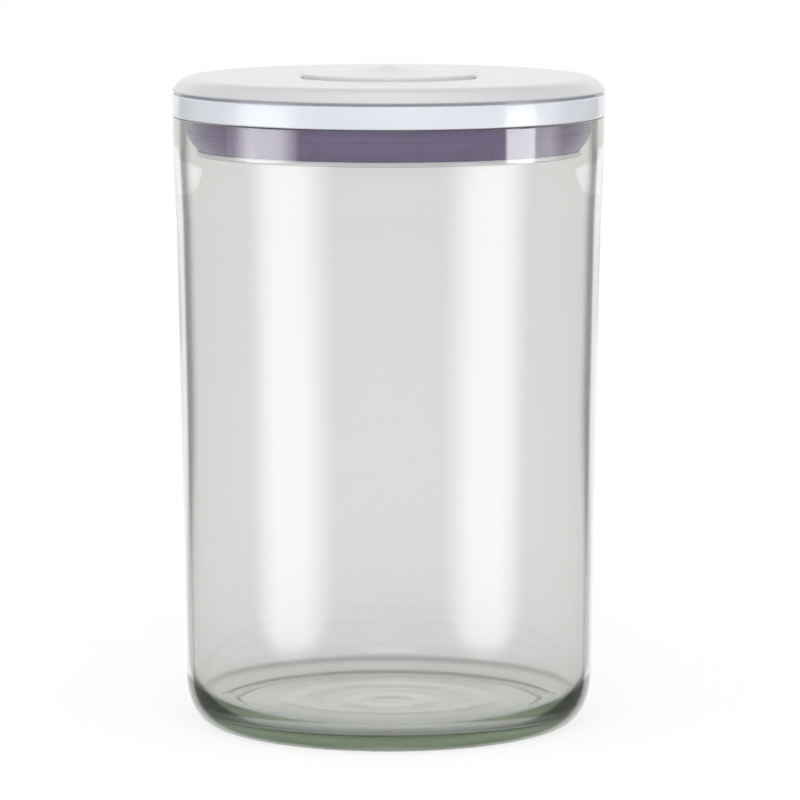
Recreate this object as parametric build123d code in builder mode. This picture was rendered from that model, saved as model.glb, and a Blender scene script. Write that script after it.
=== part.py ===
from build123d import *
import math
import os

# A glass storage jar with a press-to-seal lid. The origin is the centre of the jar's foot, +Z points up.
# It stands as in use: the lid on the jar, the button pressed down and latched, the gasket squeezed.
# All lengths are in mm, all angles in degrees.

# The radii follow each other from the latch barrel outwards: walls, screws and clearances add up to the jar's.

# Jar
jar_height = 158.5
rim_wall = 3.3
rim_overhang = 0.1
bead_swell = 0.65
jar_draft = 2.25
bead_height = 7.0
bead_blend = 5.0
bore_depth = 20.0
wall = 2.9
floor_thickness = 5.0
heel_round = 9.0
inner_heel_round = 7.5
rim_round = 0.8
foot_width = 5.5
push_up = 1.2
base_ring_rise = 0.3
base_ring_width = 6.0
base_ring_shares = (0.2, 0.6)

# Lid frame: the band that shows, and the web behind it
band_height = 5.7
band_wall = 2.8
band_round = 0.35
groove_gap = 0.6
groove_depth = 0.8
web_thickness = 1.8
web_hole_gap = 0.5
skirt_wall = 1.4
skirt_gap = 0.543
skirt_depth = 5.5
frame_rib_height = 2.2
frame_rib_width = 1.2

# Top shell
shell_wall = 1.8
shell_margin = 5.5
shell_edge_height = 3.7
dome_rise = 0.1
shoulder_drop = 2.4
shoulder_run = 4.7
shoulder_side = 0.3
dish_width = 4.0
dish_depth = 0.55
dish_slope = 3.2
button_gap = 0.25
locating_gap = 0.2
locating_wall = 1.4
locating_depth = 3.6

# Button
button_proud = 1.25
button_crown = 2.1
button_round = 0.5
button_skirt_wall = 1.5
button_skirt_depth = 8.7
button_recess_radius = 4.0
button_recess_depth = 1.0
button_travel = 7.0
over_travel = 1.0

# Plunger behind the button
plunger_side_gap = 0.2
plunger_wall = 1.9
plunger_plate = 1.6
plunger_depth = 12.2
collar_height = 1.2
guide_gap = 0.1
follower_tube_wall = 1.7
follower_tube_gap = 0.3

# Latch cup, which hangs from the web
cup_wall = 1.7
cup_floor = 1.5
cup_floor_gap = 1.5
cup_top_gap = 0.5
cup_lobe_margin = 3.4
cup_lobe_width = 8.0
cup_lobe_thickness = 1.6
cup_slot_gap = 0.5

# Latch barrel and its cam track
barrel_radius = 8.0
barrel_end_wall = 0.7
barrel_play = 0.05
barrel_seat_height = 0.4
barrel_seat_width = 2.0
axle_radius = 3.0
running_gap = 0.05
track_width = 1.8
track_depth = 1.0
track_repeats = 3
release_turn = 45.0
return_turn = 40.0
notch_rise = 1.1
track_steps = 6
follower_radius = 0.8
follower_gap = 0.15
follower_height = 1.4

# Rockers
rocker_count = 6
pivot_height = 3.0
inner_arm = 17.0
outer_arm = 4.857
toe_inset = 0.8
rocker_width = 5.0
rocker_side_gap = 0.2
hub_radius = 2.3
toe_radius = 1.1
toe_gap = 0.05
arm_root = 1.3
arm_tip = 0.85
outer_neck = 0.75
pin_radius = 1.0
pin_seat_gap = 0.02
ear_wall = 2.2

# Lift plate and gasket
lip_gap = 2.9
plate_thickness = 1.6
lip_thickness = 1.25
lip_round = 0.35
rib_wall = 1.4
rib_height = 6.6
rib_gap = 0.3
tab_wall = 2.5
tab_side = 1.6
tab_roof = 1.35
tab_slot_gap = 0.3
gasket_height = 8.45
gasket_width = 5.3
gasket_gap = 0.3
gasket_wall = 1.9
gasket_fold_depth = 1.6
gasket_fold_width = 1.5
gasket_fold_share = 0.6
gasket_flange_height = 1.4
gasket_taper = 2.9
gasket_belly = 11.5

# Spring
spring_wire = 1.2
spring_gap = 0.7
spring_turns = 4
gap_steps = 36

# Screws
cup_screw_count = 3
cup_boss_gap = 0.7
boss_spacing = 1.0
plunger_screw_count = 3
plunger_screw_inset = 4.0
plunger_screw_bite = 1.25
screw_radius = 1.3
screw_hole_gap = 0.05
screw_head_radius = 2.3
screw_head_height = 1.2
screw_socket_radius = 1.1
screw_socket_depth = 0.7
screw_grip = 4.2
boss_radius = 3.0
cup_boss_height = 4.0
washer_radius = 5.5
washer_thickness = 0.5
washer_hole_gap = 0.3
overrun = 5.0

# Radii that follow from the sizes above, from the latch barrel outwards
follower_tube_radius = barrel_radius + follower_tube_gap + follower_tube_wall
plunger_screw_circle = follower_tube_radius + plunger_screw_inset
spring_radius = plunger_screw_circle + screw_head_radius + spring_gap + spring_wire / 2
plunger_inner = spring_radius + spring_wire / 2 + spring_gap
plunger_radius = plunger_inner + plunger_wall
button_radius = plunger_radius + plunger_side_gap + button_skirt_wall
hole_radius = button_radius + button_gap
dish_radius = hole_radius + dish_width
cup_inner = button_radius + guide_gap
cup_outer = cup_inner + cup_wall
cup_screw_circle = cup_outer + boss_radius + cup_boss_gap
cup_lobe_radius = cup_screw_circle + cup_lobe_margin
shell_screw_circle = cup_screw_circle + 2 * boss_radius + boss_spacing
pivot_radius = plunger_radius - toe_inset + inner_arm
outer_toe_radius = pivot_radius + outer_arm
tab_inner = outer_toe_radius - tab_wall / 2 - toe_gap
tab_outer = tab_inner + tab_wall
skirt_radius = tab_outer + skirt_gap + skirt_wall
rib_inner = skirt_radius + rib_gap
rib_outer = rib_inner + rib_wall
gasket_inner = rib_outer + gasket_gap
gasket_outer = gasket_inner + gasket_width
mouth_radius = gasket_outer + gasket_gap
plate_radius = mouth_radius - lip_gap
rim_radius = mouth_radius + rim_wall
neck_radius = rim_radius - bead_swell
heel_radius = neck_radius - jar_draft
lid_radius = rim_radius + rim_overhang
band_inner = lid_radius - band_wall
locating_radius = band_inner - locating_gap
shell_edge_radius = lid_radius - shell_margin

# Heights and angles that follow from the sizes above
web_top = jar_height + web_thickness
band_top = jar_height + band_height
shell_seat = band_top + groove_gap
shell_edge_top = shell_seat + shell_edge_height
dome_top = shell_edge_top + dome_rise
dish_floor = dome_top - dish_depth
button_edge = dish_floor + button_proud
button_top = button_edge + button_crown
button_base = button_edge - button_skirt_depth
slot_step = 360 / rocker_count
boss_angle = slot_step / 2

tilt = math.degrees(math.asin(button_travel / 2 / inner_arm))
pivot_z = jar_height + pivot_height
inner_toe_z = pivot_z - inner_arm * math.sin(math.radians(tilt))
outer_toe_z = pivot_z + outer_arm * math.sin(math.radians(tilt))
plate_travel = 2 * outer_arm * math.sin(math.radians(tilt))

plunger_top = dish_floor - shell_wall + 2 * cup_top_gap
plunger_base = plunger_top - plunger_depth
cup_top = dish_floor - shell_wall - cup_top_gap
cup_floor_top = plunger_base - cup_floor_gap
cup_base = cup_floor_top - cup_floor
follower_z = plunger_base + follower_height
barrel_base = cup_floor_top + barrel_seat_height
barrel_top = follower_z + button_travel + track_width / 2 + barrel_end_wall
axle_top = barrel_top + barrel_play

gasket_base = jar_height - gasket_height
plate_base = gasket_base - lip_thickness
plate_top = plate_base + plate_thickness
slot_width = rocker_width + 2 * rocker_side_gap
tab_width = slot_width + 2 * tab_side
tab_slot_width = tab_width + 2 * tab_slot_gap


def radial_plane(angle, radius=0.0, height=0.0):
    # A vertical plane through the axis: x runs outwards, y up, at the given place on it
    turn = math.radians(angle)
    outward = Vector(math.cos(turn), math.sin(turn), 0)
    sideways = Vector(math.sin(turn), -math.cos(turn), 0)
    return Plane(origin=outward * radius + Vector(0, 0, height), x_dir=outward, z_dir=sideways)


def outward_plane(angle, radius, height):
    # A plane square to a radius, facing outwards, for round holes and pins that point at the axis
    upright = radial_plane(angle, radius, height)
    return Plane(origin=upright.origin, z_dir=upright.x_dir)


def ring(inner, outer, low, high, mode=Mode.ADD):
    # A plain ring or disc about the axis, from one height to another
    with BuildSketch(Plane.XY.offset(low), mode=Mode.PRIVATE) as section:
        Circle(outer)
        if inner > 0:
            Circle(inner, mode=Mode.SUBTRACT)
    extrude(section.sketch, amount=high - low, mode=mode)


def radial_block(angle, inner, outer, width, low, high, mode=Mode.ADD):
    # A block that lies along a radius
    with BuildSketch(Plane.XY.offset(low), mode=Mode.PRIVATE) as section:
        with Locations(Plane.XY.rotated((0, 0, angle))):
            with Locations(((inner + outer) / 2, 0)):
                Rectangle(outer - inner, width)
    extrude(section.sketch, amount=high - low, mode=mode)


def screw(radius, angle, seat_z, grip, into):
    # A pan-head screw that is driven upwards from below its seat; into is the length in the boss
    turn = math.radians(angle)
    centre = (radius * math.cos(turn), radius * math.sin(turn))
    with BuildSketch(Plane.XY.offset(seat_z), mode=Mode.PRIVATE) as head:
        with Locations(centre):
            Circle(screw_head_radius)
    extrude(head.sketch, amount=-screw_head_height)
    with BuildSketch(Plane.XY.offset(seat_z), mode=Mode.PRIVATE) as shank:
        with Locations(centre):
            Circle(screw_radius)
    extrude(shank.sketch, amount=grip + into)
    with BuildSketch(Plane.XY.offset(seat_z - screw_head_height), mode=Mode.PRIVATE) as socket:
        with Locations(centre):
            RegularPolygon(screw_socket_radius, 6)
    extrude(socket.sketch, amount=screw_socket_depth, mode=Mode.SUBTRACT)


# Glass jar: a pressed jar with a heavy base, a rolled rim and a straight bore for the plug
with BuildPart() as glass_jar:
    bead_low = jar_height - bead_height
    neck_low = bead_low - bead_blend
    foot_outer = heel_radius - heel_round
    foot_inner = foot_outer - foot_width
    inner_heel = heel_radius - wall
    inner_flat = inner_heel - inner_heel_round
    bead_middle = ((neck_radius + rim_radius) / 2, neck_low + bead_blend / 2)
    bead_step = math.hypot(rim_radius - neck_radius, bead_blend)
    bead_arc = bead_step**2 / (4 * (rim_radius - neck_radius))
    with BuildSketch(Plane.XZ) as jar_section:
        with BuildLine():
            Polyline((0, floor_thickness), (0, push_up), (foot_inner - push_up, push_up))
            Polyline((foot_inner - push_up, push_up), (foot_inner, 0), (foot_outer, 0))
            RadiusArc((foot_outer, 0), (heel_radius, heel_round), -heel_round)
            Line((heel_radius, heel_round), (neck_radius, neck_low))
            # The bead swells out by two equal arcs that meet half way
            RadiusArc((neck_radius, neck_low), bead_middle, bead_arc)
            RadiusArc(bead_middle, (rim_radius, bead_low), -bead_arc)
            Line((rim_radius, bead_low), (rim_radius, jar_height - rim_round))
            RadiusArc(
                (rim_radius, jar_height - rim_round), (rim_radius - rim_round, jar_height), -rim_round
            )
            Line((rim_radius - rim_round, jar_height), (mouth_radius + rim_round, jar_height))
            RadiusArc(
                (mouth_radius + rim_round, jar_height), (mouth_radius, jar_height - rim_round), -rim_round
            )
            Line((mouth_radius, jar_height - rim_round), (mouth_radius, jar_height - bore_depth))
            Line((mouth_radius, jar_height - bore_depth), (inner_heel, floor_thickness + inner_heel_round))
            RadiusArc(
                (inner_heel, floor_thickness + inner_heel_round),
                (inner_flat, floor_thickness),
                inner_heel_round,
            )
            Line((inner_flat, floor_thickness), (0, floor_thickness))
        make_face()
    revolve(axis=Axis.Z)
    for share in base_ring_shares:
        ring_radius = foot_inner * share
        with BuildSketch(Plane.XZ, mode=Mode.PRIVATE) as base_ring:
            with BuildLine():
                Polyline(
                    (ring_radius - base_ring_width / 2, push_up),
                    (ring_radius, push_up - base_ring_rise),
                    (ring_radius + base_ring_width / 2, push_up),
                    (ring_radius, push_up + base_ring_rise),
                    close=True,
                )
            make_face()
        revolve(base_ring.sketch, axis=Axis.Z)
glass_jar.part.label = "glass_jar"

# Lid frame: outer band, a web that rests on the rim, the skirt inside the gasket, ears for the rockers
with BuildPart() as lid_frame:
    with BuildSketch(Plane.XZ) as frame_section:
        with BuildLine():
            Polyline(
                (cup_outer + web_hole_gap, jar_height),
                (skirt_radius - skirt_wall, jar_height),
                (skirt_radius - skirt_wall, jar_height - skirt_depth),
                (skirt_radius, jar_height - skirt_depth),
                (skirt_radius, jar_height),
                (lid_radius, jar_height),
                (lid_radius, band_top),
                (lid_radius - groove_depth, band_top),
                (lid_radius - groove_depth, shell_seat),
                (band_inner, shell_seat),
                (band_inner, web_top),
                (cup_outer + web_hole_gap, web_top),
                close=True,
            )
        make_face()
    revolve(axis=Axis.Z)
    band_edges = lid_frame.edges().filter_by(GeomType.CIRCLE)
    outer_edges = band_edges.filter_by(lambda edge: abs(edge.radius - lid_radius) < band_round)
    fillet(outer_edges, band_round)
    for index in range(rocker_count):
        slot_angle = index * slot_step
        radial_block(slot_angle, 0, pivot_radius + hub_radius, slot_width, jar_height, web_top, Mode.SUBTRACT)
        radial_block(
            slot_angle,
            tab_inner - tab_slot_gap,
            tab_outer + tab_slot_gap,
            tab_slot_width,
            jar_height,
            web_top,
            Mode.SUBTRACT,
        )
        radial_block(
            slot_angle, pivot_radius, tab_inner, slot_width, jar_height, web_top, Mode.SUBTRACT
        )
        # Two ears, rounded over the pin
        for side in (-1, 1):
            start = radial_plane(slot_angle, pivot_radius, pivot_z).offset(side * slot_width / 2)
            with BuildSketch(start, mode=Mode.PRIVATE) as ear:
                Circle(hub_radius)
                with Locations((0, (web_top - pivot_z) / 2)):
                    Rectangle(2 * hub_radius, pivot_z - web_top)
                Circle(pin_radius + pin_seat_gap, mode=Mode.SUBTRACT)
            extrude(ear.sketch, amount=side * ear_wall)
        # A stiffening rib on the web between the shell boss and the band
        radial_block(
            slot_angle + boss_angle,
            shell_screw_circle + boss_radius + screw_hole_gap,
            band_inner - locating_gap - locating_wall - screw_hole_gap,
            frame_rib_width,
            web_top,
            web_top + frame_rib_height,
        )
    # Clearance holes for the shell screws, and bosses for the cup screws
    with BuildSketch(Plane.XY.offset(jar_height), mode=Mode.PRIVATE) as shell_holes:
        with PolarLocations(shell_screw_circle, rocker_count, boss_angle):
            Circle(screw_radius + screw_hole_gap)
    extrude(shell_holes.sketch, amount=web_thickness, mode=Mode.SUBTRACT)
    with BuildSketch(Plane.XY.offset(web_top), mode=Mode.PRIVATE) as cup_bosses:
        with PolarLocations(cup_screw_circle, cup_screw_count, boss_angle):
            Circle(boss_radius)
    extrude(cup_bosses.sketch, amount=cup_boss_height)
    with BuildSketch(Plane.XY.offset(jar_height), mode=Mode.PRIVATE) as cup_holes:
        with PolarLocations(cup_screw_circle, cup_screw_count, boss_angle):
            Circle(screw_radius)
    extrude(cup_holes.sketch, amount=screw_grip, mode=Mode.SUBTRACT)
lid_frame.part.label = "lid_frame"

# Top shell: a thin domed cover with a dish and a hole for the button, and six screw bosses inside
with BuildPart() as top_shell:
    shoulder_radius = shell_edge_radius + shoulder_run
    shoulder_z = shell_edge_top - shoulder_drop
    with BuildSketch(Plane.XZ) as shell_section:
        with BuildLine():
            Line((hole_radius, dish_floor), (dish_radius - dish_slope, dish_floor))
            Line((dish_radius - dish_slope, dish_floor), (dish_radius, dome_top))
            dome = TangentArc((dish_radius, dome_top), (shell_edge_radius, shell_edge_top), tangent=(1, 0))
            shoulder = TangentArc(dome @ 1, (shoulder_radius, shoulder_z), tangent=dome % 1)
            Line(shoulder @ 1, (lid_radius, shell_seat + shoulder_side))
            Polyline(
                (lid_radius, shell_seat + shoulder_side),
                (lid_radius - shoulder_side, shell_seat),
                (locating_radius, shell_seat),
                (locating_radius, shell_seat - locating_depth),
                (locating_radius - locating_wall, shell_seat - locating_depth),
                (locating_radius - locating_wall, shell_seat + shoulder_side),
            )
            Line(
                (locating_radius - locating_wall, shell_seat + shoulder_side),
                (shell_edge_radius - shell_wall, shell_edge_top - shell_wall),
            )
            RadiusArc(
                (shell_edge_radius - shell_wall, shell_edge_top - shell_wall),
                (dish_radius + shell_wall, dome_top - shell_wall),
                -((shell_edge_radius - dish_radius - 2 * shell_wall) ** 2) / (2 * dome_rise),
            )
            Polyline(
                (dish_radius + shell_wall, dome_top - shell_wall),
                (dish_radius + shell_wall - dish_slope, dish_floor - shell_wall),
                (hole_radius, dish_floor - shell_wall),
                (hole_radius, dish_floor),
            )
        make_face()
    revolve(axis=Axis.Z)
    with BuildSketch(Plane.XY.offset(web_top), mode=Mode.PRIVATE) as shell_bosses:
        with PolarLocations(shell_screw_circle, rocker_count, boss_angle):
            Circle(boss_radius)
    extrude(shell_bosses.sketch, amount=shell_edge_top - shell_wall / 2 - web_top)
    with BuildSketch(Plane.XY.offset(web_top), mode=Mode.PRIVATE) as boss_holes:
        with PolarLocations(shell_screw_circle, rocker_count, boss_angle):
            Circle(screw_radius)
    extrude(boss_holes.sketch, amount=screw_grip, mode=Mode.SUBTRACT)
top_shell.part.label = "top_shell"

# Shell screws: driven from below through the web into the shell's bosses
with BuildPart() as shell_screws:
    for index in range(rocker_count):
        screw(shell_screw_circle, boss_angle + index * slot_step, jar_height, web_thickness, screw_grip)
shell_screws.part.label = "shell_screws"

# Button cap: a slightly crowned disc with a skirt that stays in the hole when the button is up
with BuildPart() as button_cap:
    skirt_inner = button_radius - button_skirt_wall
    crown_radius = (button_radius**2 + button_crown**2) / (2 * button_crown)
    with BuildSketch(Plane.XZ) as cap_section:
        with BuildLine():
            Line((0, button_top), (0, plunger_top + button_recess_depth))
            Polyline(
                (0, plunger_top + button_recess_depth),
                (button_recess_radius, plunger_top + button_recess_depth),
                (button_recess_radius, plunger_top),
                (skirt_inner, plunger_top),
                (skirt_inner, button_base),
                (button_radius, button_base),
                (button_radius, button_edge),
            )
            RadiusArc((button_radius, button_edge), (0, button_top), crown_radius)
        make_face()
    revolve(axis=Axis.Z)
    crown_edge = button_cap.edges().filter_by(GeomType.CIRCLE).filter_by(
        lambda edge: abs(edge.center().Z - button_edge) < button_round
    )
    fillet(crown_edge, button_round)
    with BuildSketch(Plane.XY.offset(plunger_top), mode=Mode.PRIVATE) as cap_holes:
        with PolarLocations(plunger_screw_circle, plunger_screw_count, boss_angle):
            Circle(screw_radius)
    extrude(cap_holes.sketch, amount=plunger_screw_bite, mode=Mode.SUBTRACT)
button_cap.part.label = "button_cap"

# Plunger: two tubes under one plate; the outer holds the rockers' toes, the inner the followers
with BuildPart() as plunger:
    plate_under = plunger_top - plunger_plate
    follower_tube_inner = barrel_radius + follower_tube_gap
    ring(plunger_inner, plunger_radius, plunger_base, plunger_top)
    ring(follower_tube_inner, plunger_radius, plate_under, plunger_top)
    ring(follower_tube_inner, follower_tube_radius, plunger_base, plunger_top)
    ring(plunger_inner, button_radius, plunger_base, plunger_base + collar_height)
    for index in range(rocker_count):
        radial_block(
            index * slot_step,
            plunger_inner - toe_radius,
            plunger_radius + overrun / 2,
            slot_width,
            inner_toe_z - toe_radius - toe_gap,
            inner_toe_z + toe_radius + toe_gap,
            Mode.SUBTRACT,
        )
    for index in range(track_repeats):
        follower_angle = index * 360 / track_repeats
        with BuildSketch(outward_plane(follower_angle, 0, follower_z), mode=Mode.PRIVATE) as follower_hole:
            Circle(follower_radius)
        extrude(follower_hole.sketch, amount=follower_tube_radius + follower_tube_gap, mode=Mode.SUBTRACT)
    with BuildSketch(Plane.XY.offset(plate_under), mode=Mode.PRIVATE) as plate_holes:
        with PolarLocations(plunger_screw_circle, plunger_screw_count, boss_angle):
            Circle(screw_radius + screw_hole_gap)
    extrude(plate_holes.sketch, amount=plunger_plate, mode=Mode.SUBTRACT)
plunger.part.label = "plunger"

# Plunger screws: three, up through the plunger's plate into the cap
with BuildPart() as plunger_screws:
    for index in range(plunger_screw_count):
        screw_angle = boss_angle + index * 360 / plunger_screw_count
        screw(plunger_screw_circle, screw_angle, plate_under, plunger_plate, plunger_screw_bite)
plunger_screws.part.label = "plunger_screws"

# Follower pins: pressed through the plunger's inner tube, their tips run in the cam track
with BuildPart() as follower_pins:
    tip_radius = barrel_radius - track_depth + follower_gap
    for index in range(track_repeats):
        follower_angle = index * 360 / track_repeats
        with BuildSketch(outward_plane(follower_angle, tip_radius, follower_z), mode=Mode.PRIVATE) as follower:
            Circle(follower_radius)
        extrude(follower.sketch, amount=follower_tube_radius - tip_radius)
follower_pins.part.label = "follower_pins"

# Latch cup: hangs under the web, guides the button and carries the barrel's axle
with BuildPart() as latch_cup:
    ring(0, cup_outer, cup_base, cup_floor_top)
    ring(cup_inner, cup_outer, cup_base, cup_top)
    ring(0, axle_radius + barrel_seat_width, cup_floor_top, barrel_base)
    ring(0, axle_radius, cup_floor_top, axle_top)
    ring(0, screw_radius, axle_top - screw_grip, axle_top, Mode.SUBTRACT)
    for index in range(cup_screw_count):
        lobe_angle = boss_angle + index * 360 / cup_screw_count
        radial_block(
            lobe_angle,
            cup_outer - cup_wall / 2,
            cup_lobe_radius,
            cup_lobe_width,
            jar_height - cup_lobe_thickness,
            jar_height,
        )
    with BuildSketch(Plane.XY.offset(jar_height - cup_lobe_thickness), mode=Mode.PRIVATE) as lobe_holes:
        with PolarLocations(cup_screw_circle, cup_screw_count, boss_angle):
            Circle(screw_radius + screw_hole_gap)
    extrude(lobe_holes.sketch, amount=cup_lobe_thickness, mode=Mode.SUBTRACT)
    for index in range(rocker_count):
        radial_block(
            index * slot_step,
            cup_inner - cup_wall,
            cup_outer + cup_wall,
            slot_width + 2 * cup_slot_gap,
            inner_toe_z - toe_radius,
            cup_top,
            Mode.SUBTRACT,
        )
latch_cup.part.label = "latch_cup"

# Cup screws: three, up through the cup's lobes into the web's bosses
with BuildPart() as cup_screws:
    for index in range(cup_screw_count):
        screw_angle = boss_angle + index * 360 / cup_screw_count
        screw(
            cup_screw_circle,
            screw_angle,
            jar_height - cup_lobe_thickness,
            cup_lobe_thickness,
            screw_grip,
        )
cup_screws.part.label = "cup_screws"


def track_points():
    # One repeat of the cam track, as (angle, height above the followers at rest)
    slope = release_turn / button_travel
    low = -over_travel
    first_low = low * slope
    last_low = first_low + 360 / track_repeats
    second_low = release_turn + return_turn
    return [
        (first_low, low),
        (release_turn, button_travel),
        (second_low, low),
        ((second_low + last_low) / 2, low + notch_rise),
        (last_low, low),
    ]


def track_flight(start, end, steps):
    # A cutter for one flight of the track: radial sections joined by ruled faces
    run = math.radians(end[0] - start[0]) * barrel_radius
    climb = math.atan2(end[1] - start[1], run)
    opening = track_width / math.cos(climb)
    middle = barrel_radius + track_width / 2 - track_depth
    with BuildPart() as flight:
        for step in range(steps + 1):
            share = step / steps
            angle = start[0] + (end[0] - start[0]) * share
            height = follower_z + start[1] + (end[1] - start[1]) * share
            with BuildSketch(radial_plane(angle, middle, height)):
                Rectangle(track_width, opening)
        loft(ruled=True)
    return flight.part


# The cam track's flights, worked out once and repeated around the barrel
one_repeat = track_points()
flights = []
for point, next_point in zip(one_repeat, one_repeat[1:]):
    flight_steps = max(2, round(track_steps * (next_point[0] - point[0]) / release_turn))
    flights.append(track_flight(point, next_point, flight_steps))

# Latch barrel: the closed track climbs, drops back and waits in a notch, three times around
with BuildPart() as latch_barrel:
    ring(axle_radius + running_gap, barrel_radius, barrel_base, barrel_top)
    with PolarLocations(0, track_repeats):
        for flight in flights:
            add(flight, mode=Mode.SUBTRACT)
    for index in range(track_repeats):
        for turning_point in one_repeat[:-1]:
            turn_plane = outward_plane(
                turning_point[0] + index * 360 / track_repeats,
                barrel_radius - track_depth,
                follower_z + turning_point[1],
            )
            with BuildSketch(turn_plane, mode=Mode.PRIVATE) as turning:
                Circle(track_width / 2)
            extrude(turning.sketch, amount=track_width, mode=Mode.SUBTRACT)
latch_barrel.part.label = "latch_barrel"

# Barrel washer and screw: they keep the barrel on its axle
with BuildPart() as barrel_washer:
    ring(screw_radius + washer_hole_gap, washer_radius, axle_top, axle_top + washer_thickness)
barrel_washer.part.label = "barrel_washer"

with BuildPart() as barrel_screw:
    washer_top = axle_top + washer_thickness
    ring(0, screw_head_radius, washer_top, washer_top + screw_head_height)
    ring(0, screw_radius, axle_top - screw_grip, washer_top)
    with BuildSketch(Plane.XY.offset(washer_top + screw_head_height), mode=Mode.PRIVATE) as barrel_socket:
        RegularPolygon(screw_socket_radius, 6)
    extrude(barrel_socket.sketch, amount=-screw_socket_depth, mode=Mode.SUBTRACT)
barrel_screw.part.label = "barrel_screw"

# Rockers: six short levers; the inner toe sits in the plunger, the outer toe lifts the plate
rockers = []
for index in range(rocker_count):
    rocker_angle = index * slot_step
    flat = radial_plane(rocker_angle, pivot_radius, pivot_z)
    along = flat.x_dir * math.cos(math.radians(tilt)) + flat.y_dir * math.sin(math.radians(tilt))
    arm_plane = Plane(origin=flat.origin, x_dir=along, z_dir=flat.z_dir)
    with BuildPart() as rocker:
        with BuildSketch(arm_plane):
            Circle(hub_radius)
            with Locations((-inner_arm, 0), (outer_arm, 0)):
                Circle(toe_radius)
            with BuildLine():
                Polyline(
                    (0, arm_root),
                    (-inner_arm, arm_tip),
                    (-inner_arm, -arm_tip),
                    (0, -arm_root),
                    close=True,
                )
            make_face()
            with Locations((outer_arm / 2, 0)):
                Rectangle(outer_arm, 2 * outer_neck)
            Circle(pin_radius + running_gap, mode=Mode.SUBTRACT)
        extrude(amount=rocker_width / 2, both=True)
    rocker.part.label = f"rocker_{index + 1}"
    rockers.append(rocker.part)

# Rocker pins: plain pins held in the ears
with BuildPart() as rocker_pins:
    for index in range(rocker_count):
        with BuildSketch(radial_plane(index * slot_step, pivot_radius, pivot_z), mode=Mode.PRIVATE) as pin:
            Circle(pin_radius)
        extrude(pin.sketch, amount=slot_width / 2 + ear_wall, both=True)
rocker_pins.part.label = "rocker_pins"

# Lift plate: closes the lid below, pulled up by six windowed tabs; its lip squeezes the gasket
with BuildPart() as lift_plate:
    with BuildSketch(Plane.XZ) as plate_section:
        with BuildLine():
            Polyline(
                (0, plate_base),
                (plate_radius, plate_base),
                (plate_radius, gasket_base),
                (rib_outer, gasket_base),
                (rib_outer, gasket_base + rib_height),
                (rib_inner, gasket_base + rib_height),
                (rib_inner, plate_top),
                (0, plate_top),
                close=True,
            )
        make_face()
    revolve(axis=Axis.Z)
    lip_edge = lift_plate.edges().filter_by(GeomType.CIRCLE).filter_by(
        lambda edge: abs(edge.radius - plate_radius) < lip_round
    )
    fillet(lip_edge, lip_round)
    window_low = outer_toe_z - toe_radius - toe_gap
    window_high = outer_toe_z + toe_radius + toe_gap
    for index in range(rocker_count):
        tab_angle = index * slot_step
        radial_block(tab_angle, tab_inner, tab_outer, tab_width, plate_base + lip_thickness / 2, window_high + tab_roof)
        radial_block(
            tab_angle,
            tab_inner - overrun / 2,
            tab_outer + overrun / 2,
            slot_width,
            window_low,
            window_high,
            Mode.SUBTRACT,
        )
lift_plate.part.label = "lift_plate"

# Gasket: a soft ring with one inward fold, squeezed between the web and the lip until its upper half bulges
with BuildPart() as gasket:
    fold_z = gasket_base + gasket_height * gasket_fold_share
    with BuildSketch(Plane.XZ) as gasket_section:
        with BuildLine():
            RadiusArc(
                (gasket_outer - gasket_taper, gasket_base),
                (gasket_outer, fold_z - gasket_fold_width / 2),
                -gasket_belly,
            )
            Polyline(
                (gasket_outer, fold_z - gasket_fold_width / 2),
                (gasket_outer - gasket_fold_depth, fold_z),
                (gasket_outer, fold_z + gasket_fold_width / 2),
                (gasket_outer, jar_height),
                (gasket_inner, jar_height),
                (gasket_inner, jar_height - gasket_flange_height),
                (gasket_outer - gasket_fold_depth - gasket_wall, fold_z + gasket_fold_width),
                (gasket_outer - gasket_fold_depth - gasket_wall, fold_z - gasket_fold_width),
                (gasket_inner, gasket_base + gasket_flange_height),
                (gasket_inner, gasket_base),
                (gasket_outer - gasket_taper, gasket_base),
            )
        make_face()
    revolve(axis=Axis.Z)
gasket.part.label = "gasket"

# Return spring: one coil between the cup's floor and the plunger's plate, its ends ground flat
spring_length = plate_under - cup_floor_top
spring_pitch = spring_length / spring_turns


def helix_place(turns):
    # The point and the direction of the coil's centre line after so many turns
    turn = 2 * math.pi * turns
    place = Vector(
        spring_radius * math.cos(turn), spring_radius * math.sin(turn), cup_floor_top + spring_pitch * turns
    )
    heading = Vector(-spring_radius * math.sin(turn), spring_radius * math.cos(turn), spring_pitch / (2 * math.pi))
    return place, heading.normalized()


def biarc(start, heading, end, end_heading):
    # Two arcs that leave and arrive in the given directions and meet in line
    step = end - start
    both = heading + end_heading
    bend = 2 * (1 - heading.dot(end_heading))
    reach = (math.sqrt(step.dot(both) ** 2 + bend * step.dot(step)) - step.dot(both)) / bend
    middle = (start + end + (heading - end_heading) * reach) / 2
    across = (end - end_heading * reach) - (start + heading * reach)
    TangentArc(start, middle, tangent=heading)
    TangentArc(middle, end, tangent=across.normalized())


with BuildPart() as return_spring:
    with BuildLine() as spring_path:
        for step in range(2 * spring_turns):
            biarc(*helix_place(step / 2), *helix_place((step + 1) / 2))
    with BuildSketch(Plane(spring_path.line @ 0, z_dir=spring_path.line % 0)):
        Circle(spring_wire / 2)
    sweep(path=spring_path.line)
    split(bisect_by=Plane.XY.offset(cup_floor_top), keep=Keep.TOP)
    split(bisect_by=Plane.XY.offset(plate_under), keep=Keep.BOTTOM)
return_spring.part.label = "return_spring"

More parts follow.
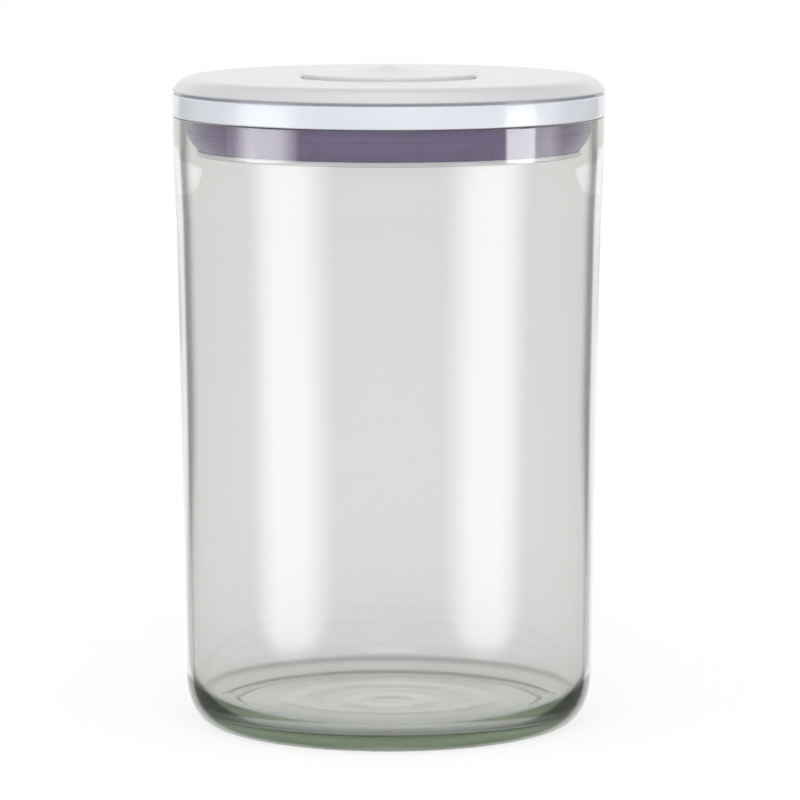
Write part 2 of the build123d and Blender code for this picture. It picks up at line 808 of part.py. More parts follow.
# The least gap of the spring to itself, measured between points from half a turn to one and a half apart
gap_points = [helix_place(step / gap_steps)[0] for step in range(gap_steps * spring_turns + 1)]
least_gap = min(
    (gap_points[later] - gap_points[first]).length
    for first in range(len(gap_points))
    for later in range(first + gap_steps // 2, min(first + 3 * gap_steps // 2, len(gap_points)))
) - spring_wire
print(f"spring: least gap between turns about {least_gap:.2f} mm")
print(f"rocker tilt {tilt:.4f} deg each way, plate travel {plate_travel:.4f} mm")
print(f"pivot radius {pivot_radius} height {pivot_z}, height of the whole {button_top:.2f} mm")

os.makedirs("parts", exist_ok=True)
pieces = [
    glass_jar.part,
    lid_frame.part,
    top_shell.part,
    shell_screws.part,
    button_cap.part,
    plunger.part,
    plunger_screws.part,
    follower_pins.part,
    latch_cup.part,
    cup_screws.part,
    latch_barrel.part,
    barrel_washer.part,
    barrel_screw.part,
    rocker_pins.part,
    lift_plate.part,
    gasket.part,
    return_spring.part,
] + rockers
for piece in pieces:
    export_step(piece, f"parts/{piece.label}.step")
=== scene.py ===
import math

import bpy
import bmesh
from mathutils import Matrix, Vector


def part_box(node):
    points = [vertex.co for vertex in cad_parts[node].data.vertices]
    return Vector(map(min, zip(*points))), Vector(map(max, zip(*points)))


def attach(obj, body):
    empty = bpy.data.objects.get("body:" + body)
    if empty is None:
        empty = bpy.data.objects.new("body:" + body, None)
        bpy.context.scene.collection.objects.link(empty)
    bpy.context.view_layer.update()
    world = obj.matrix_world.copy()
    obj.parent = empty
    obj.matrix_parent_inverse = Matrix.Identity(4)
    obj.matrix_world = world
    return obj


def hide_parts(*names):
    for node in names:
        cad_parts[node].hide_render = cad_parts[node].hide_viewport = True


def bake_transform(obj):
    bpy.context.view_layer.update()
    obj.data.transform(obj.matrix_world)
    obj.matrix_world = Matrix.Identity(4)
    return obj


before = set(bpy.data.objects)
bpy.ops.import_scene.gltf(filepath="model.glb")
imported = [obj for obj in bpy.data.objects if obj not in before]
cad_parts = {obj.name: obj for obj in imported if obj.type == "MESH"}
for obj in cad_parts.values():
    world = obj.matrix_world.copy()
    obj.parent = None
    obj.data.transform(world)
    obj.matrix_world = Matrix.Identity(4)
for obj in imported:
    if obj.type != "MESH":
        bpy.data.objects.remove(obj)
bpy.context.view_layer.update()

# Glass jar: one pressed piece of pale grey-green glass with a thick base, a bead under its rim and a straight
# bore for the lid. The mould leaves its faces a little wavy, and shallow rings under the push-up of the base.
# Dark lines at its outline, rim and heel are painted shade, set by height and by how far a face turns from the
# eye.
mm = 0.001
jar_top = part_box("glass_jar")[1].z / mm
rim_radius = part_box("glass_jar")[1].x / mm
rim_wall = 3.3
rim_rounding = 0.3
rim_clearance = 0.02
bead_swell = 0.65
bead_height = 9.0
bead_blend = 19.0
neck_drop = 12.0
jar_draft = 2.25
jar_wall = 2.9
bore_depth = 20.0
heel_width = 7.0
heel_height = 13.0
heel_steps = 24
inner_heel_rounding = 7.5
foot_width = 5.5
push_up = 1.2
base_thickness = 5.0
ring_rise = 0.22
ring_half_width = 6.0
ring_shares = (0.2, 0.6)
ring_step = 0.5
glass_index = 1.51
glass_tint = (0.54, 0.63, 0.49)
glass_density = 29.0
wave_scale = 22
wave_strength = 0.22
wave_depth = 0.0006
wave_ends = (6.0, 20.0)
smear_scale = 75
smear_window = (0.55, 0.8)
smear_roughness = 0.02
base_roughness = 0.14
base_window = (14.0, 6.0)
face_inner = 0.4
face_outer = 1.0
# colours and windows of the painted shade lines at the outline, bead, rim and heel
edge_painted_shade = 0.2
edge_rise = (0.59, 0.69)
edge_fall = (0.80, 0.71)
edge_foot = (2.0, 6.0)
low_shift = 0.09
low_window = (90.0, 30.0)
heel_shift = 0.16
heel_window = (18.0, 8.0)
bead_painted_shade = 0.45
bead_warmth = 0.95
bead_window = (0.66, 0.74)
bead_span = (8.0, 7.0)
rim_painted_shadow = 0.3
rim_span = (0.35, 0.15)
heel_line_painted_shade = (0.035, 0.04, 0.025)
heel_line_foot = (2.8, 4.6)
heel_line_top = 7.5
heel_line_climb = 7.0
heel_line_climb_window = (0.35, 0.7)
heel_line_soft = 2.0
heel_line_front = 0.7
heel_line_front_window = (0.2, 0.6)
heel_radius = rim_radius - bead_swell - jar_draft


class Wire:
    """A number that varies over a surface. Arithmetic on it adds Math nodes to the same tree."""

    def __init__(self, nodes, socket):
        self.nodes, self.socket = nodes, socket

    def maths(self, operation, *values):
        return self.nodes.make("ShaderNodeMath", {"operation": operation}, dict(enumerate(values)))

    def __add__(self, other):
        return self.maths("ADD", self, other)

    def __radd__(self, other):
        return self.maths("ADD", other, self)

    def __sub__(self, other):
        return self.maths("SUBTRACT", self, other)

    def __rsub__(self, other):
        return self.maths("SUBTRACT", other, self)

    def __mul__(self, other):
        return self.maths("MULTIPLY", self, other)

    def __rmul__(self, other):
        return self.maths("MULTIPLY", other, self)

    def __truediv__(self, other):
        return self.maths("DIVIDE", self, other)

    def __abs__(self):
        return self.maths("ABSOLUTE", self)

    def __pow__(self, other):
        return self.maths("POWER", self, other)

    def smooth(self, low, high):
        """0 below low, 1 above high, and an even rise between; low may be the larger of the two."""
        return self.nodes.make(
            "ShaderNodeMapRange",
            {"interpolation_type": "SMOOTHSTEP"},
            {"Value": self, "From Min": low, "From Max": high},
        )


class Nodes:
    """The node tree of a material or of the world."""

    def __init__(self, tree):
        self.tree = tree
        tree.nodes.clear()

    def make(self, kind, settings=None, sockets=None, out=0):
        """Adds a node: its settings first, then the values or links of its sockets. Gives one output."""
        node = self.tree.nodes.new(kind)
        for name, value in (settings or {}).items():
            setattr(node, name, value)
        for name, value in (sockets or {}).items():
            if isinstance(value, Wire):
                self.tree.links.new(value.socket, node.inputs[name])
            else:
                node.inputs[name].default_value = value
        return Wire(self, node.outputs[out])

    def place(self, axis):
        """Where a point lies along the piece's own axis 0, 1 or 2, in mm."""
        here = self.make("ShaderNodeTexCoord", out="Object")
        return self.make("ShaderNodeSeparateXYZ", sockets={0: here}, out=axis) / mm

    def spread(self):
        """How far a point lies from the jar's axis, in mm."""
        return (self.place(0) ** 2 + self.place(1) ** 2) ** 0.5

    def noise(self, scale, detail=3.0, roughness=0.5, stretch=(1, 1, 1)):
        """Cloudy noise from 0 to 1 in the piece's own place; scale is in features per metre."""
        place = self.make("ShaderNodeTexCoord", out="Object")
        stretched = self.make("ShaderNodeMapping", sockets={"Vector": place, "Scale": stretch})
        return self.make(
            "ShaderNodeTexNoise",
            sockets={"Vector": stretched, "Scale": scale, "Detail": detail, "Roughness": roughness},
        )

    def blend(self, amount, first, second):
        """A colour between two others."""
        sockets = {0: amount, 6: first, 7: second}
        return self.make("ShaderNodeMix", {"data_type": "RGBA"}, sockets, out=2)

    def end(self, kind, **ends):
        """The output of the tree."""
        node = self.tree.nodes.new(kind)
        for name, value in ends.items():
            self.tree.links.new(value.socket, node.inputs[name])


def finish(name, surface):
    """A material from a function that takes the tree's Nodes and gives the Principled shader's sockets."""
    material = bpy.data.materials.new(name)
    material.use_nodes = True
    nodes = Nodes(material.node_tree)
    sockets = surface(nodes)
    volume = sockets.pop("Volume", None)
    shader = nodes.make("ShaderNodeBsdfPrincipled", sockets=sockets)
    if volume:
        nodes.end("ShaderNodeOutputMaterial", Surface=shader, Volume=volume)
    else:
        nodes.end("ShaderNodeOutputMaterial", Surface=shader)
    return material


def rounded(corners, closed=False, steps=8):
    """An outline through corners (radius, height, rounding), each rounded by an arc of its rounding."""
    points = []
    for index, (radius, height, rounding) in enumerate(corners):
        here = Vector((radius, height))
        at_end = index in (0, len(corners) - 1) and not closed
        if rounding == 0 or at_end:
            points.append(here)
            continue
        back = (Vector(corners[index - 1][:2]) - here).normalized()
        ahead = (Vector(corners[(index + 1) % len(corners)][:2]) - here).normalized()
        half = back.angle(ahead) / 2
        centre = here + (back + ahead).normalized() * rounding / math.sin(half)
        start = here + back * rounding / math.tan(half) - centre
        turn = start.angle_signed(here + ahead * rounding / math.tan(half) - centre)
        for step in range(steps + 1):
            angle = -turn * step / steps
            spoke = Vector((
                start.x * math.cos(angle) - start.y * math.sin(angle),
                start.x * math.sin(angle) + start.y * math.cos(angle),
            ))
            points.append(centre + spoke)
    return points


def supported(outline, reach=0.15):
    """Puts a point just inside each end of every long straight run, so that the shading stays flat there."""
    dense = []
    for (radius, height), (next_radius, next_height) in zip(outline, outline[1:]):
        run = math.hypot(next_radius - radius, next_height - height)
        dense.append((radius, height))
        if run > 6 * reach:
            for share in (reach / run, 1 - reach / run):
                dense.append((
                    radius + (next_radius - radius) * share,
                    height + (next_height - height) * share,
                ))
    return dense + [outline[-1]]


def turned(name, outline, material, closed=False, turns=288):
    """A body of revolution about the jar's axis, from an outline of (radius, height) in mm."""
    outline = supported(outline)
    shape = bmesh.new()
    rings = []
    for radius, height in outline:
        if radius < 1e-6:
            rings.append([shape.verts.new((0, 0, height * mm))] * turns)
            continue
        rings.append([
            shape.verts.new((
                radius * mm * math.cos(2 * math.pi * step / turns),
                radius * mm * math.sin(2 * math.pi * step / turns),
                height * mm,
            ))
            for step in range(turns)
        ])
    pairs = list(zip(rings, rings[1:]))
    if closed:
        pairs.append((rings[-1], rings[0]))
    for low, high in pairs:
        for step in range(turns):
            beside = (step + 1) % turns
            around = [low[step], low[beside], high[beside], high[step]]
            corners = [vert for place, vert in enumerate(around) if vert not in around[:place]]
            shape.faces.new(corners)
    bmesh.ops.recalc_face_normals(shape, faces=shape.faces)
    mesh = bpy.data.meshes.new(name)
    shape.to_mesh(mesh)
    shape.free()
    for face in mesh.polygons:
        face.use_smooth = True
    mesh.set_sharp_from_angle(angle=math.radians(32))
    mesh.materials.append(material)
    piece = bpy.data.objects.new(name, mesh)
    bpy.context.scene.collection.objects.link(piece)
    return piece


def clear_glass(nodes):
    """Clear glass with a faint tint in its depth, wavy faces, finger smears, a frosted foot and painted dark shade
    lines.
    """
    flow = nodes.noise(wave_scale, detail=2, stretch=(1, 1, 0.35))
    smears = nodes.noise(smear_scale, detail=5, roughness=0.62)
    height = nodes.place(2)
    waves = (flow - 0.5) * height.smooth(*(jar_top - drop for drop in wave_ends))
    bump = nodes.make(
        "ShaderNodeBump",
        sockets={"Strength": wave_strength, "Distance": wave_depth, "Height": waves},
    )
    facing = nodes.make("ShaderNodeLayerWeight", sockets={"Blend": 0.5}, out="Facing")
    # 1 on the outer face and 0 on the inner one, all the way up the tapered wall
    undrafted = nodes.spread() - height * (jar_draft / jar_top)
    outside = undrafted.smooth(heel_radius - jar_wall + face_inner, heel_radius - face_outer)
    # painted shade: the dark line just inside the outline
    shift = low_shift * height.smooth(*low_window) - heel_shift * height.smooth(*heel_window)
    edge = facing.smooth(*(turn + shift for turn in edge_rise))
    edge = edge * facing.smooth(*(turn + shift for turn in edge_fall))
    edge = edge * outside * height.smooth(*edge_foot)
    # painted shade: the dark line above the green heel, which climbs towards the sides
    heel_line_high = heel_line_top + heel_line_climb * facing.smooth(*heel_line_climb_window)
    heel_line_shade = height.smooth(*heel_line_foot) * height.smooth(heel_line_high, heel_line_high - heel_line_soft) * outside
    heel_line_shade = heel_line_shade * (heel_line_front + (1 - heel_line_front) * facing.smooth(*heel_line_front_window))
    # painted shade on the bead near the outline
    bead = facing.smooth(*bead_window) * height.smooth(*(jar_top - drop for drop in bead_span)) * outside
    # painted shadow along the rim's top, under the band
    rim = height.smooth(*(jar_top - drop for drop in rim_span))
    edged = nodes.blend(edge, (1, 1, 1, 1), (edge_painted_shade, edge_painted_shade, edge_painted_shade, 1))
    beaded = nodes.blend(bead, edged, (bead_painted_shade, bead_painted_shade, bead_warmth * bead_painted_shade, 1))
    rimmed = nodes.blend(rim, beaded, (rim_painted_shadow, rim_painted_shadow, rim_painted_shadow, 1))
    absorbed = nodes.make(
        "ShaderNodeVolumeAbsorption",
        sockets={"Color": (*glass_tint, 1), "Density": glass_density},
    )
    frost = base_roughness * height.smooth(*base_window)
    return {
        "Base Color": nodes.blend(heel_line_shade, rimmed, (*heel_line_painted_shade, 1)),
        "Roughness": smear_roughness * smears.smooth(*smear_window) + frost,
        "IOR": glass_index,
        "Transmission Weight": 1.0,
        "Normal": bump,
        "Volume": absorbed,
    }


neck_radius = rim_radius - bead_swell
mouth_radius = rim_radius - rim_wall
bead_low = jar_top - bead_height
blend_low = bead_low - bead_blend
blend_radius = neck_radius - jar_draft * (jar_top - neck_drop - blend_low) / (jar_top - neck_drop)
foot_outer = heel_radius - heel_width
foot_inner = foot_outer - foot_width
rim_top = jar_top - rim_clearance
base_outline = []
for step in range(int((foot_inner - 2 * push_up) / ring_step)):
    wave = 0
    for share in ring_shares:
        off = abs(step * ring_step - foot_inner * share) / ring_half_width
        if off < 1:
            wave += (1 + math.cos(math.pi * off)) / 2
    base_outline.append((step * ring_step, push_up - ring_rise * wave, 0))
jar_outline = rounded(base_outline + [
    (foot_inner - push_up, push_up, 0.8),
    (foot_inner, 0, 0.8),
] + [
    (
        foot_outer + heel_width * math.sin(math.pi / 2 * step / heel_steps),
        heel_height - heel_height * math.cos(math.pi / 2 * step / heel_steps),
        0,
    )
    for step in range(heel_steps + 1)
] + [
    (blend_radius, blend_low, 200.0),
    (rim_radius, bead_low, 120.0),
    (rim_radius, rim_top, rim_rounding),
    (mouth_radius, rim_top, rim_rounding),
    (mouth_radius, jar_top - bore_depth, 60.0),
    (heel_radius - jar_wall, base_thickness, inner_heel_rounding),
    (0, base_thickness, 0),
], steps=16)
glass_jar = turned("glass_jar_pressed", jar_outline, finish("pressed_glass", clear_glass), turns=360)
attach(glass_jar, "jar")
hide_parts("glass_jar")

# Lid frame: the band that shows around the lid, with the web, skirt and rocker ears behind it. It is moulded in
# one piece of bluish white ABS with a high gloss; only the groove under the top shell breaks its face. The faces
# inside that groove carry a painted grey shade, because their own shade is fainter than the photo's.
band_colour = (0.855, 0.885, 0.935)
band_shade = (0.815, 0.845, 0.90)
band_roughness = 0.12
plastic_index = 1.5
groove_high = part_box("lid_frame")[1].z / mm + 0.1
groove_low = groove_high - 0.6
groove_fade = 0.6
groove_edge = 0.1
groove_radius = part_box("lid_frame")[1].x / mm - 4.0
# painted grey shade for the groove under the top shell
groove_painted_shade = (0.48, 0.49, 0.54)


def moulded(colour, shade, roughness, peel=0.02, wear=1.0):
    """Injection-moulded plastic: faint cloudy flow in the colour, finger smears, a fine orange peel, and painted
    grey shade in the lid's groove.
    """
    def surface(nodes):
        flow = nodes.noise(38, detail=3).smooth(0.35, 0.7)
        smears = nodes.noise(120, detail=6, roughness=0.65).smooth(0.5, 0.75)
        skin = nodes.noise(1500, detail=2)
        bump = nodes.make("ShaderNodeBump", sockets={"Strength": peel, "Distance": 0.0002, "Height": skin})
        height = nodes.place(2)
        # painted shade inside the groove between the band and the top shell
        groove = height.smooth(groove_high + groove_fade, groove_high)
        groove = groove * height.smooth(groove_low - groove_edge, groove_low)
        groove = groove * nodes.spread().smooth(groove_radius - 1.0, groove_radius)
        cloudy = nodes.blend(flow, (*colour, 1), (*shade, 1))
        return {
            "Base Color": nodes.blend(groove, cloudy, (*groove_painted_shade, 1)),
            "Roughness": roughness + wear * (0.07 * smears + 0.03 * flow),
            "IOR": plastic_index,
            "Normal": bump,
        }
    return surface


def dress(material, *nodes):
    """Gives carried-over CAD nodes a finish."""
    for node in nodes:
        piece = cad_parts[node]
        piece.data.materials.clear()
        piece.data.materials.append(material)
        piece.modifiers.new("even_normals", "WEIGHTED_NORMAL").keep_sharp = True


dress(finish("band_plastic", moulded(band_colour, band_shade, band_roughness)), "lid_frame")

# Gasket: a ring of violet-grey silicone around the skirt, folded once. Shut, the fold is squeezed to a thin line
# and the ring swells out against the bore, and the mesh is built in that shut shape; the real ring stretches and
# draws in when the lift plate drops.
gasket_low, gasket_high = (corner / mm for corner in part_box("gasket"))
gasket_outer = gasket_high.x
gasket_inner = 47.0
fold_height = gasket_low.z + 5.07
fold_depth = 1.5
fold_mouth = 0.05
lobe_crown = 0.02
taper_foot = 2.9
taper_middle = 0.88
taper_height = 1.97
silicone_colour = (0.262, 0.190, 0.376)
silicone_shade = (0.232, 0.170, 0.336)
silicone_index = 1.45
silicone_gloss = 0.5
silicone_roughness = 0.24
groove_lip = 1.4
gasket_wall = 1.9
waist_half = 1.5


def silicone(nodes):
    """Soft silicone with a cloudy bloom and fine dust."""
    bloom = nodes.noise(60, detail=4).smooth(0.35, 0.7)
    dust = nodes.noise(2600, detail=2).smooth(0.6, 0.85)
    bump = nodes.make("ShaderNodeBump", sockets={"Strength": 0.05, "Distance": 0.0002, "Height": dust})
    return {
        "Base Color": nodes.blend(bloom, (*silicone_colour, 1), (*silicone_shade, 1)),
        "Roughness": silicone_roughness + 0.04 * bloom + 0.05 * dust,
        "IOR": silicone_index,
        "Specular IOR Level": silicone_gloss,
        "Normal": bump,
    }


gasket_outline = rounded([
    (gasket_inner, gasket_low.z, 0.3),
    (gasket_outer - taper_foot, gasket_low.z, 0.2),
    (gasket_outer - taper_middle, gasket_low.z + taper_height, 9.0),
    (gasket_outer - lobe_crown, fold_height - fold_mouth, 0.08),
    (gasket_outer - fold_depth, fold_height, 0.05),
    (gasket_outer - lobe_crown, fold_height + fold_mouth, 0.08),
    (gasket_outer, (fold_height + gasket_high.z) / 2, 20.0),
    (gasket_outer - lobe_crown, gasket_high.z, 0.1),
    (gasket_inner, gasket_high.z, 0.1),
    (gasket_inner, gasket_high.z - groove_lip, 0.3),
    (gasket_outer - fold_depth - gasket_wall, fold_height + waist_half, 1.0),
    (gasket_outer - fold_depth - gasket_wall, fold_height - waist_half, 1.0),
    (gasket_inner, gasket_low.z + groove_lip, 0.3),
], closed=True)
gasket = turned("gasket_ring", gasket_outline, finish("violet_silicone", silicone), closed=True)
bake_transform(gasket)
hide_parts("gasket")

# Rockers and their pins: six short levers, moulded in glass-filled nylon. Each tilts on a ground steel pin that
# is pressed into the ears of the frame's web. The three follower pins in the plunger are of the same steel.
rocker_colour = (0.60, 0.61, 0.64)
rocker_shade = (0.55, 0.56, 0.59)
rocker_roughness = 0.42
pin_colour = (0.60, 0.60, 0.61)
pin_shade = (0.46, 0.46, 0.47)
pin_roughness = 0.18


def metal(colour, shade, roughness, brush):
    """Bare or plated steel: drawn or turned lines along the brush direction, and patches duller than the rest."""
    def surface(nodes):
        lines = nodes.noise(900, detail=4, roughness=0.7, stretch=brush)
        patches = nodes.noise(300, detail=3).smooth(0.4, 0.7)
        bump = nodes.make("ShaderNodeBump", sockets={"Strength": 0.15, "Distance": 0.0001, "Height": lines})
        return {
            "Base Color": nodes.blend(patches, (*colour, 1), (*shade, 1)),
            "Metallic": 1.0,
            "Roughness": roughness + 0.15 * patches + 0.1 * lines,
            "Normal": bump,
        }
    return surface


rocker_finish = finish("rocker_nylon", moulded(rocker_colour, rocker_shade, rocker_roughness, peel=0.08))
dress(rocker_finish, *[f"rocker_{number + 1}" for number in range(6)])
pin_finish = finish("ground_steel", metal(pin_colour, pin_shade, pin_roughness, (1, 1, 1)))
dress(pin_finish, "rocker_pins", "follower_pins")

# Lift plate, latch cup and plunger: satin white mouldings. The plate closes the lid from below, and its lip shows
# under the gasket as a thin white line. The cup hangs under the web on three screws, and the plunger slides in it.
satin_colour = (0.96, 0.965, 0.98)
satin_shade = (0.94, 0.945, 0.965)
satin_roughness = 0.3
plate_finish = finish("satin_white", moulded(satin_colour, satin_shade, satin_roughness))
dress(plate_finish, "lift_plate", "latch_cup", "plunger")

# Latch barrel: an acetal drum with the cam track moulded around it. It turns on the axle of the latch cup, and a
# screw with a washer keeps it there.
acetal_colour = (0.70, 0.72, 0.70)
acetal_shade = (0.66, 0.68, 0.66)
acetal_roughness = 0.36
dress(finish("acetal", moulded(acetal_colour, acetal_shade, acetal_roughness)), "latch_barrel")

# Return spring: hard drawn steel wire, wound in four turns and ground flat at both ends. It stands loose between
# the cup's floor and the plunger, wound here at the CAD part's length; the real spring lengthens when the button
# comes up.
spring_low, spring_high = (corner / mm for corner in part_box("return_spring"))
spring_wire = 1.2
spring_turns = 4
spring_radius = spring_high.x - spring_wire / 2
spring_colour = (0.55, 0.55, 0.54)
spring_shade = (0.42, 0.42, 0.42)
spring_roughness = 0.24


def coil(name, radius, wire, low, high, turns, material, around=16, per_turn=72):
    """One tube wound about the axis, flat where it meets the heights low and high."""
    shape = bmesh.new()
    rings = []
    for step in range(turns * per_turn + 1):
        share = step / (turns * per_turn)
        turn = 2 * math.pi * turns * share
        outward = Vector((math.cos(turn), math.sin(turn), 0))
        heading = Vector((-math.sin(turn), math.cos(turn), (high - low) / (2 * math.pi * turns * radius)))
        upward = outward.cross(heading.normalized())
        centre = outward * radius + Vector((0, 0, low + (high - low) * share))
        ring = []
        for corner in range(around):
            angle = 2 * math.pi * corner / around
            place = centre + (outward * math.cos(angle) + upward * math.sin(angle)) * wire / 2
            place.z = min(max(place.z, low), high)
            ring.append(shape.verts.new(place * mm))
        rings.append(ring)
    for ring, later in zip(rings, rings[1:]):
        for corner in range(around):
            beside = (corner + 1) % around
            shape.faces.new((ring[corner], ring[beside], later[beside], later[corner]))
    shape.faces.new(rings[0])
    shape.faces.new(rings[-1])
    bmesh.ops.recalc_face_normals(shape, faces=shape.faces)
    mesh = bpy.data.meshes.new(name)
    shape.to_mesh(mesh)
    shape.free()
    for face in mesh.polygons:
        face.use_smooth = True
    mesh.set_sharp_from_angle(angle=math.radians(50))
    mesh.materials.append(material)
    piece = bpy.data.objects.new(name, mesh)
    bpy.context.scene.collection.objects.link(piece)
    return piece


wire_finish = finish("spring_wire", metal(spring_colour, spring_shade, spring_roughness, (1, 1, 6)))
spring = coil(
    "return_spring_coil", spring_radius, spring_wire, spring_low.z, spring_high.z, spring_turns, wire_finish
)
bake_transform(spring)
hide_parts("return_spring")

# Screws and washer: pan-head thread-forming screws with a hexagon socket, of zinc-plated steel. They hold the
# shell, the cup, the button and the barrel.
screw_colour = (0.62, 0.63, 0.63)
screw_shade = (0.50, 0.51, 0.52)
screw_roughness = 0.26
screw_finish = finish("zinc_plate", metal(screw_colour, screw_shade, screw_roughness, (4, 4, 1)))
dress(screw_finish, "shell_screws", "cup_screws", "plunger_screws", "barrel_screw", "barrel_washer")

# Top shell and button cap: thin glossy white covers. The shell is domed, with a shallow dish that the fingertips
# find; the button is slightly crowned and stands a little proud of the dish.
shell_colour = (0.73, 0.73, 0.74)
shell_shade = (0.71, 0.71, 0.72)
shell_roughness = 0.24
shell_surface = moulded(shell_colour, shell_shade, shell_roughness, peel=0.001, wear=0.1)
shell_finish = finish("shell_plastic", shell_surface)
dress(shell_finish, "top_shell", "button_cap")

# Floor: a wide sheet of pale paper. The camera sees it white, with the object's soft shadow; gloss does not see
# it, so that the lid and the glass mirror the studio's walls and panels as they would on a small table.
floor_size = 12.0
floor_drop = 0.00005
floor_glow = 1.22
floor_share = 0.62
glass_share = 0.2
paper_colour = (0.83, 0.825, 0.82)
floor_mesh = bpy.data.meshes.new("floor")
floor_ends = ((-1, -1), (1, -1), (1, 1), (-1, 1))
floor_corners = [(x * floor_size, y * floor_size, -floor_drop) for x, y in floor_ends]
floor_mesh.from_pydata(floor_corners, [], [(0, 1, 2, 3)])
floor = bpy.data.objects.new("floor", floor_mesh)
bpy.context.scene.collection.objects.link(floor)
floor_material = bpy.data.materials.new("pale_floor")
floor_material.use_nodes = True
floor_nodes = Nodes(floor_material.node_tree)
camera_ray = floor_nodes.make("ShaderNodeLightPath", out="Is Camera Ray")
glass_ray = floor_nodes.make("ShaderNodeLightPath", out="Is Transmission Ray")
paper = floor_nodes.make("ShaderNodeBsdfDiffuse", sockets={"Color": (*paper_colour, 1)})
glow = floor_nodes.make("ShaderNodeEmission", sockets={"Color": (1, 1, 1, 1), "Strength": floor_glow})
share = camera_ray * floor_share + glass_ray * glass_share
mixed = floor_nodes.make("ShaderNodeMixShader", sockets={0: share, 1: paper, 2: glow})
floor_nodes.end("ShaderNodeOutputMaterial", Surface=mixed)
floor_mesh.materials.append(floor_material)
floor.visible_glossy = False

# Panels: two tall soft panels and four low strips at their top ends, left and right of the camera. They light
# nothing and show only as reflections: with the lid shut, the tall ones in the glass below the gasket and the
# strips in the glass in front of it.
panel_kinds = (
    # azimuth, half width, soft edge (degrees), distance, bottom, top, soft end (m), strength
    (-53, 27, 23, 0.50, -0.075, 0.100, 0.012, 5.9),
    (53, 27, 23, 0.50, -0.075, 0.100, 0.012, 5.9),
    (-66, 22, 16, 0.51, 0.093, 0.1295, 0.003, 9.3),
    (-69, 22, 0.5, 0.53, 0.093, 0.1295, 0.003, 1.2),
    (70.5, 10.5, 3, 0.51, 0.093, 0.1295, 0.003, 12.0),
    (82, 22, 18, 0.53, 0.093, 0.1295, 0.003, 3.6),
)


def soft_panel(name, azimuth, half_width, edge, distance, bottom, top, end, strength):
    """An upright panel that faces the jar and fades out towards its edges."""
    half = distance * math.tan(math.radians(half_width))
    fade = distance * math.tan(math.radians(edge))
    mesh = bpy.data.meshes.new(name)
    corners = ((-half, bottom), (half, bottom), (half, top), (-half, top))
    mesh.from_pydata([(x, 0, z) for x, z in corners], [], [(0, 1, 2, 3)])
    panel = bpy.data.objects.new(name, mesh)
    turn = math.radians(azimuth)
    panel.location = (distance * math.sin(turn), -distance * math.cos(turn), 0)
    panel.rotation_euler = (0, 0, turn)
    bpy.context.scene.collection.objects.link(panel)
    material = bpy.data.materials.new(name)
    material.use_nodes = True
    nodes = Nodes(material.node_tree)
    place = nodes.make("ShaderNodeTexCoord", out="Object")
    across = nodes.make("ShaderNodeSeparateXYZ", sockets={0: place}, out=0)
    height = nodes.make("ShaderNodeSeparateXYZ", sockets={0: place}, out=2)
    lit = abs(across).smooth(half, half - fade)
    lit = lit * height.smooth(bottom, bottom + end) * height.smooth(top, top - end)
    clear = nodes.make("ShaderNodeBsdfTransparent")
    glow = nodes.make("ShaderNodeEmission", sockets={"Color": (1, 1, 1, 1), "Strength": strength})
    mixed = nodes.make("ShaderNodeMixShader", sockets={0: lit, 1: clear, 2: glow})
    nodes.end("ShaderNodeOutputMaterial", Surface=mixed)
    mesh.materials.append(material)
    panel.visible_camera = False
    panel.visible_diffuse = False
    panel.visible_shadow = False
    panel.visible_transmission = False


for number, kind in enumerate(panel_kinds):
    soft_panel(f"panel_{number + 1}", *kind)

# Studio: soft light from above and from the camera's side. Gloss sees dim walls, a bright backdrop behind the
# object and a dark patch high above it, and the camera sees white.
wall_dim = 0.3
wall_top = 0.9
wall_high = 0.1
backdrop = 1.15
room_low = 0.42
room_high = 1.0
room_top = 0.88
backdrop_fade = (52, 12)
backdrop_foot = (2, 6)
backdrop_side = (60, 110)
backdrop_back = (146, 150)
ceiling_window = (50, 75)
patch_rise = (24, 50)
patch_fall = (74, 60)
front_window = (125, 35)
room_window = (25, 70)
world = bpy.data.worlds.new("studio")
bpy.context.scene.world = world
world.use_nodes = True
sky = Nodes(world.node_tree)
direction = sky.make("ShaderNodeTexCoord", out="Generated")
across = sky.make("ShaderNodeSeparateXYZ", sockets={0: direction}, out=0)
along = sky.make("ShaderNodeSeparateXYZ", sockets={0: direction}, out=1)
upward = sky.make("ShaderNodeSeparateXYZ", sockets={0: direction}, out=2)
degrees = 180 / math.pi
azimuth = abs(across).maths("ARCTAN2", abs(across), 0 - along) * degrees
elevation = upward.maths("ARCSINE", upward) * degrees
over = azimuth.smooth(*backdrop_side) * elevation.smooth(*backdrop_foot)
behind = elevation.smooth(*backdrop_fade) * over.maths("MAXIMUM", over, azimuth.smooth(*backdrop_back))
walls = wall_dim + (wall_top - wall_dim) * elevation.smooth(*ceiling_window)
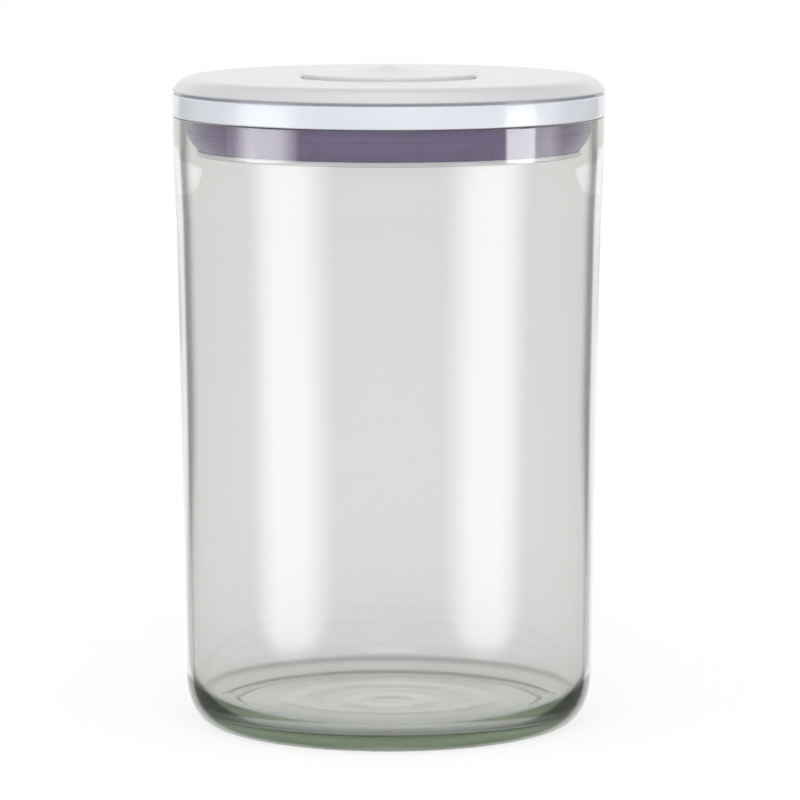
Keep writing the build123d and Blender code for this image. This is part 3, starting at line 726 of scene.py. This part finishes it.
above = azimuth.smooth(*backdrop_side) * elevation.smooth(*patch_rise) * elevation.smooth(*patch_fall)
mirrored = walls + (backdrop - walls) * behind + (wall_high - walls) * above
front = azimuth.smooth(*front_window)
sides = room_low + (room_high - room_low) * front
room = sides + (room_top - sides) * elevation.smooth(*room_window)
camera_ray = sky.make("ShaderNodeLightPath", out="Is Camera Ray")
glass_ray = sky.make("ShaderNodeLightPath", out="Is Transmission Ray")
gloss_ray = sky.make("ShaderNodeLightPath", out="Is Glossy Ray")
plain = camera_ray.maths("MAXIMUM", camera_ray, glass_ray)
light = plain + (1 - plain) * (room + (mirrored - room) * gloss_ray)
background = sky.make("ShaderNodeBackground", sockets={"Color": (1, 1, 1, 1), "Strength": light})
sky.end("ShaderNodeOutputWorld", Surface=background)

# Key light: a large soft box above the camera, the only lamp. It is too high to show in the glass or the band
# at the photograph's angle.
key_height = 0.85
key_forward = 0.9
key_aim = 0.1
key_size = 0.7
key_watts = 2.0
key_data = bpy.data.lights.new("key_softbox", "AREA")
key_data.shape = "DISK"
key_data.size = key_size
key_data.energy = key_watts
key = bpy.data.objects.new("key_softbox", key_data)
key.location = (0, -key_forward, key_height)
key.rotation_euler = (math.atan2(key_forward, key_height - key_aim), 0, 0)
bpy.context.scene.collection.objects.link(key)

# Camera: at the photograph's angle, a little above the lid and far enough away to look almost level.
camera_distance = 1.3
camera_height = 0.25
camera_pitch = 0.127
camera_lens = 226.3
camera_shift = 0.0141
camera_data = bpy.data.cameras.new("camera")
camera_data.lens = camera_lens
camera_data.sensor_width = 36
camera_data.shift_x = camera_shift
camera_data.clip_end = 60
camera = bpy.data.objects.new("camera", camera_data)
camera.location = (0, -camera_distance, camera_height)
camera.rotation_euler = (math.pi / 2 - camera_pitch, 0, 0)
bpy.context.scene.collection.objects.link(camera)
bpy.context.scene.camera = camera
bpy.context.scene.view_settings.view_transform = "Standard"
bpy.context.scene.cycles.max_bounces = 32
bpy.context.scene.cycles.glossy_bounces = 24
bpy.context.scene.cycles.transmission_bounces = 32
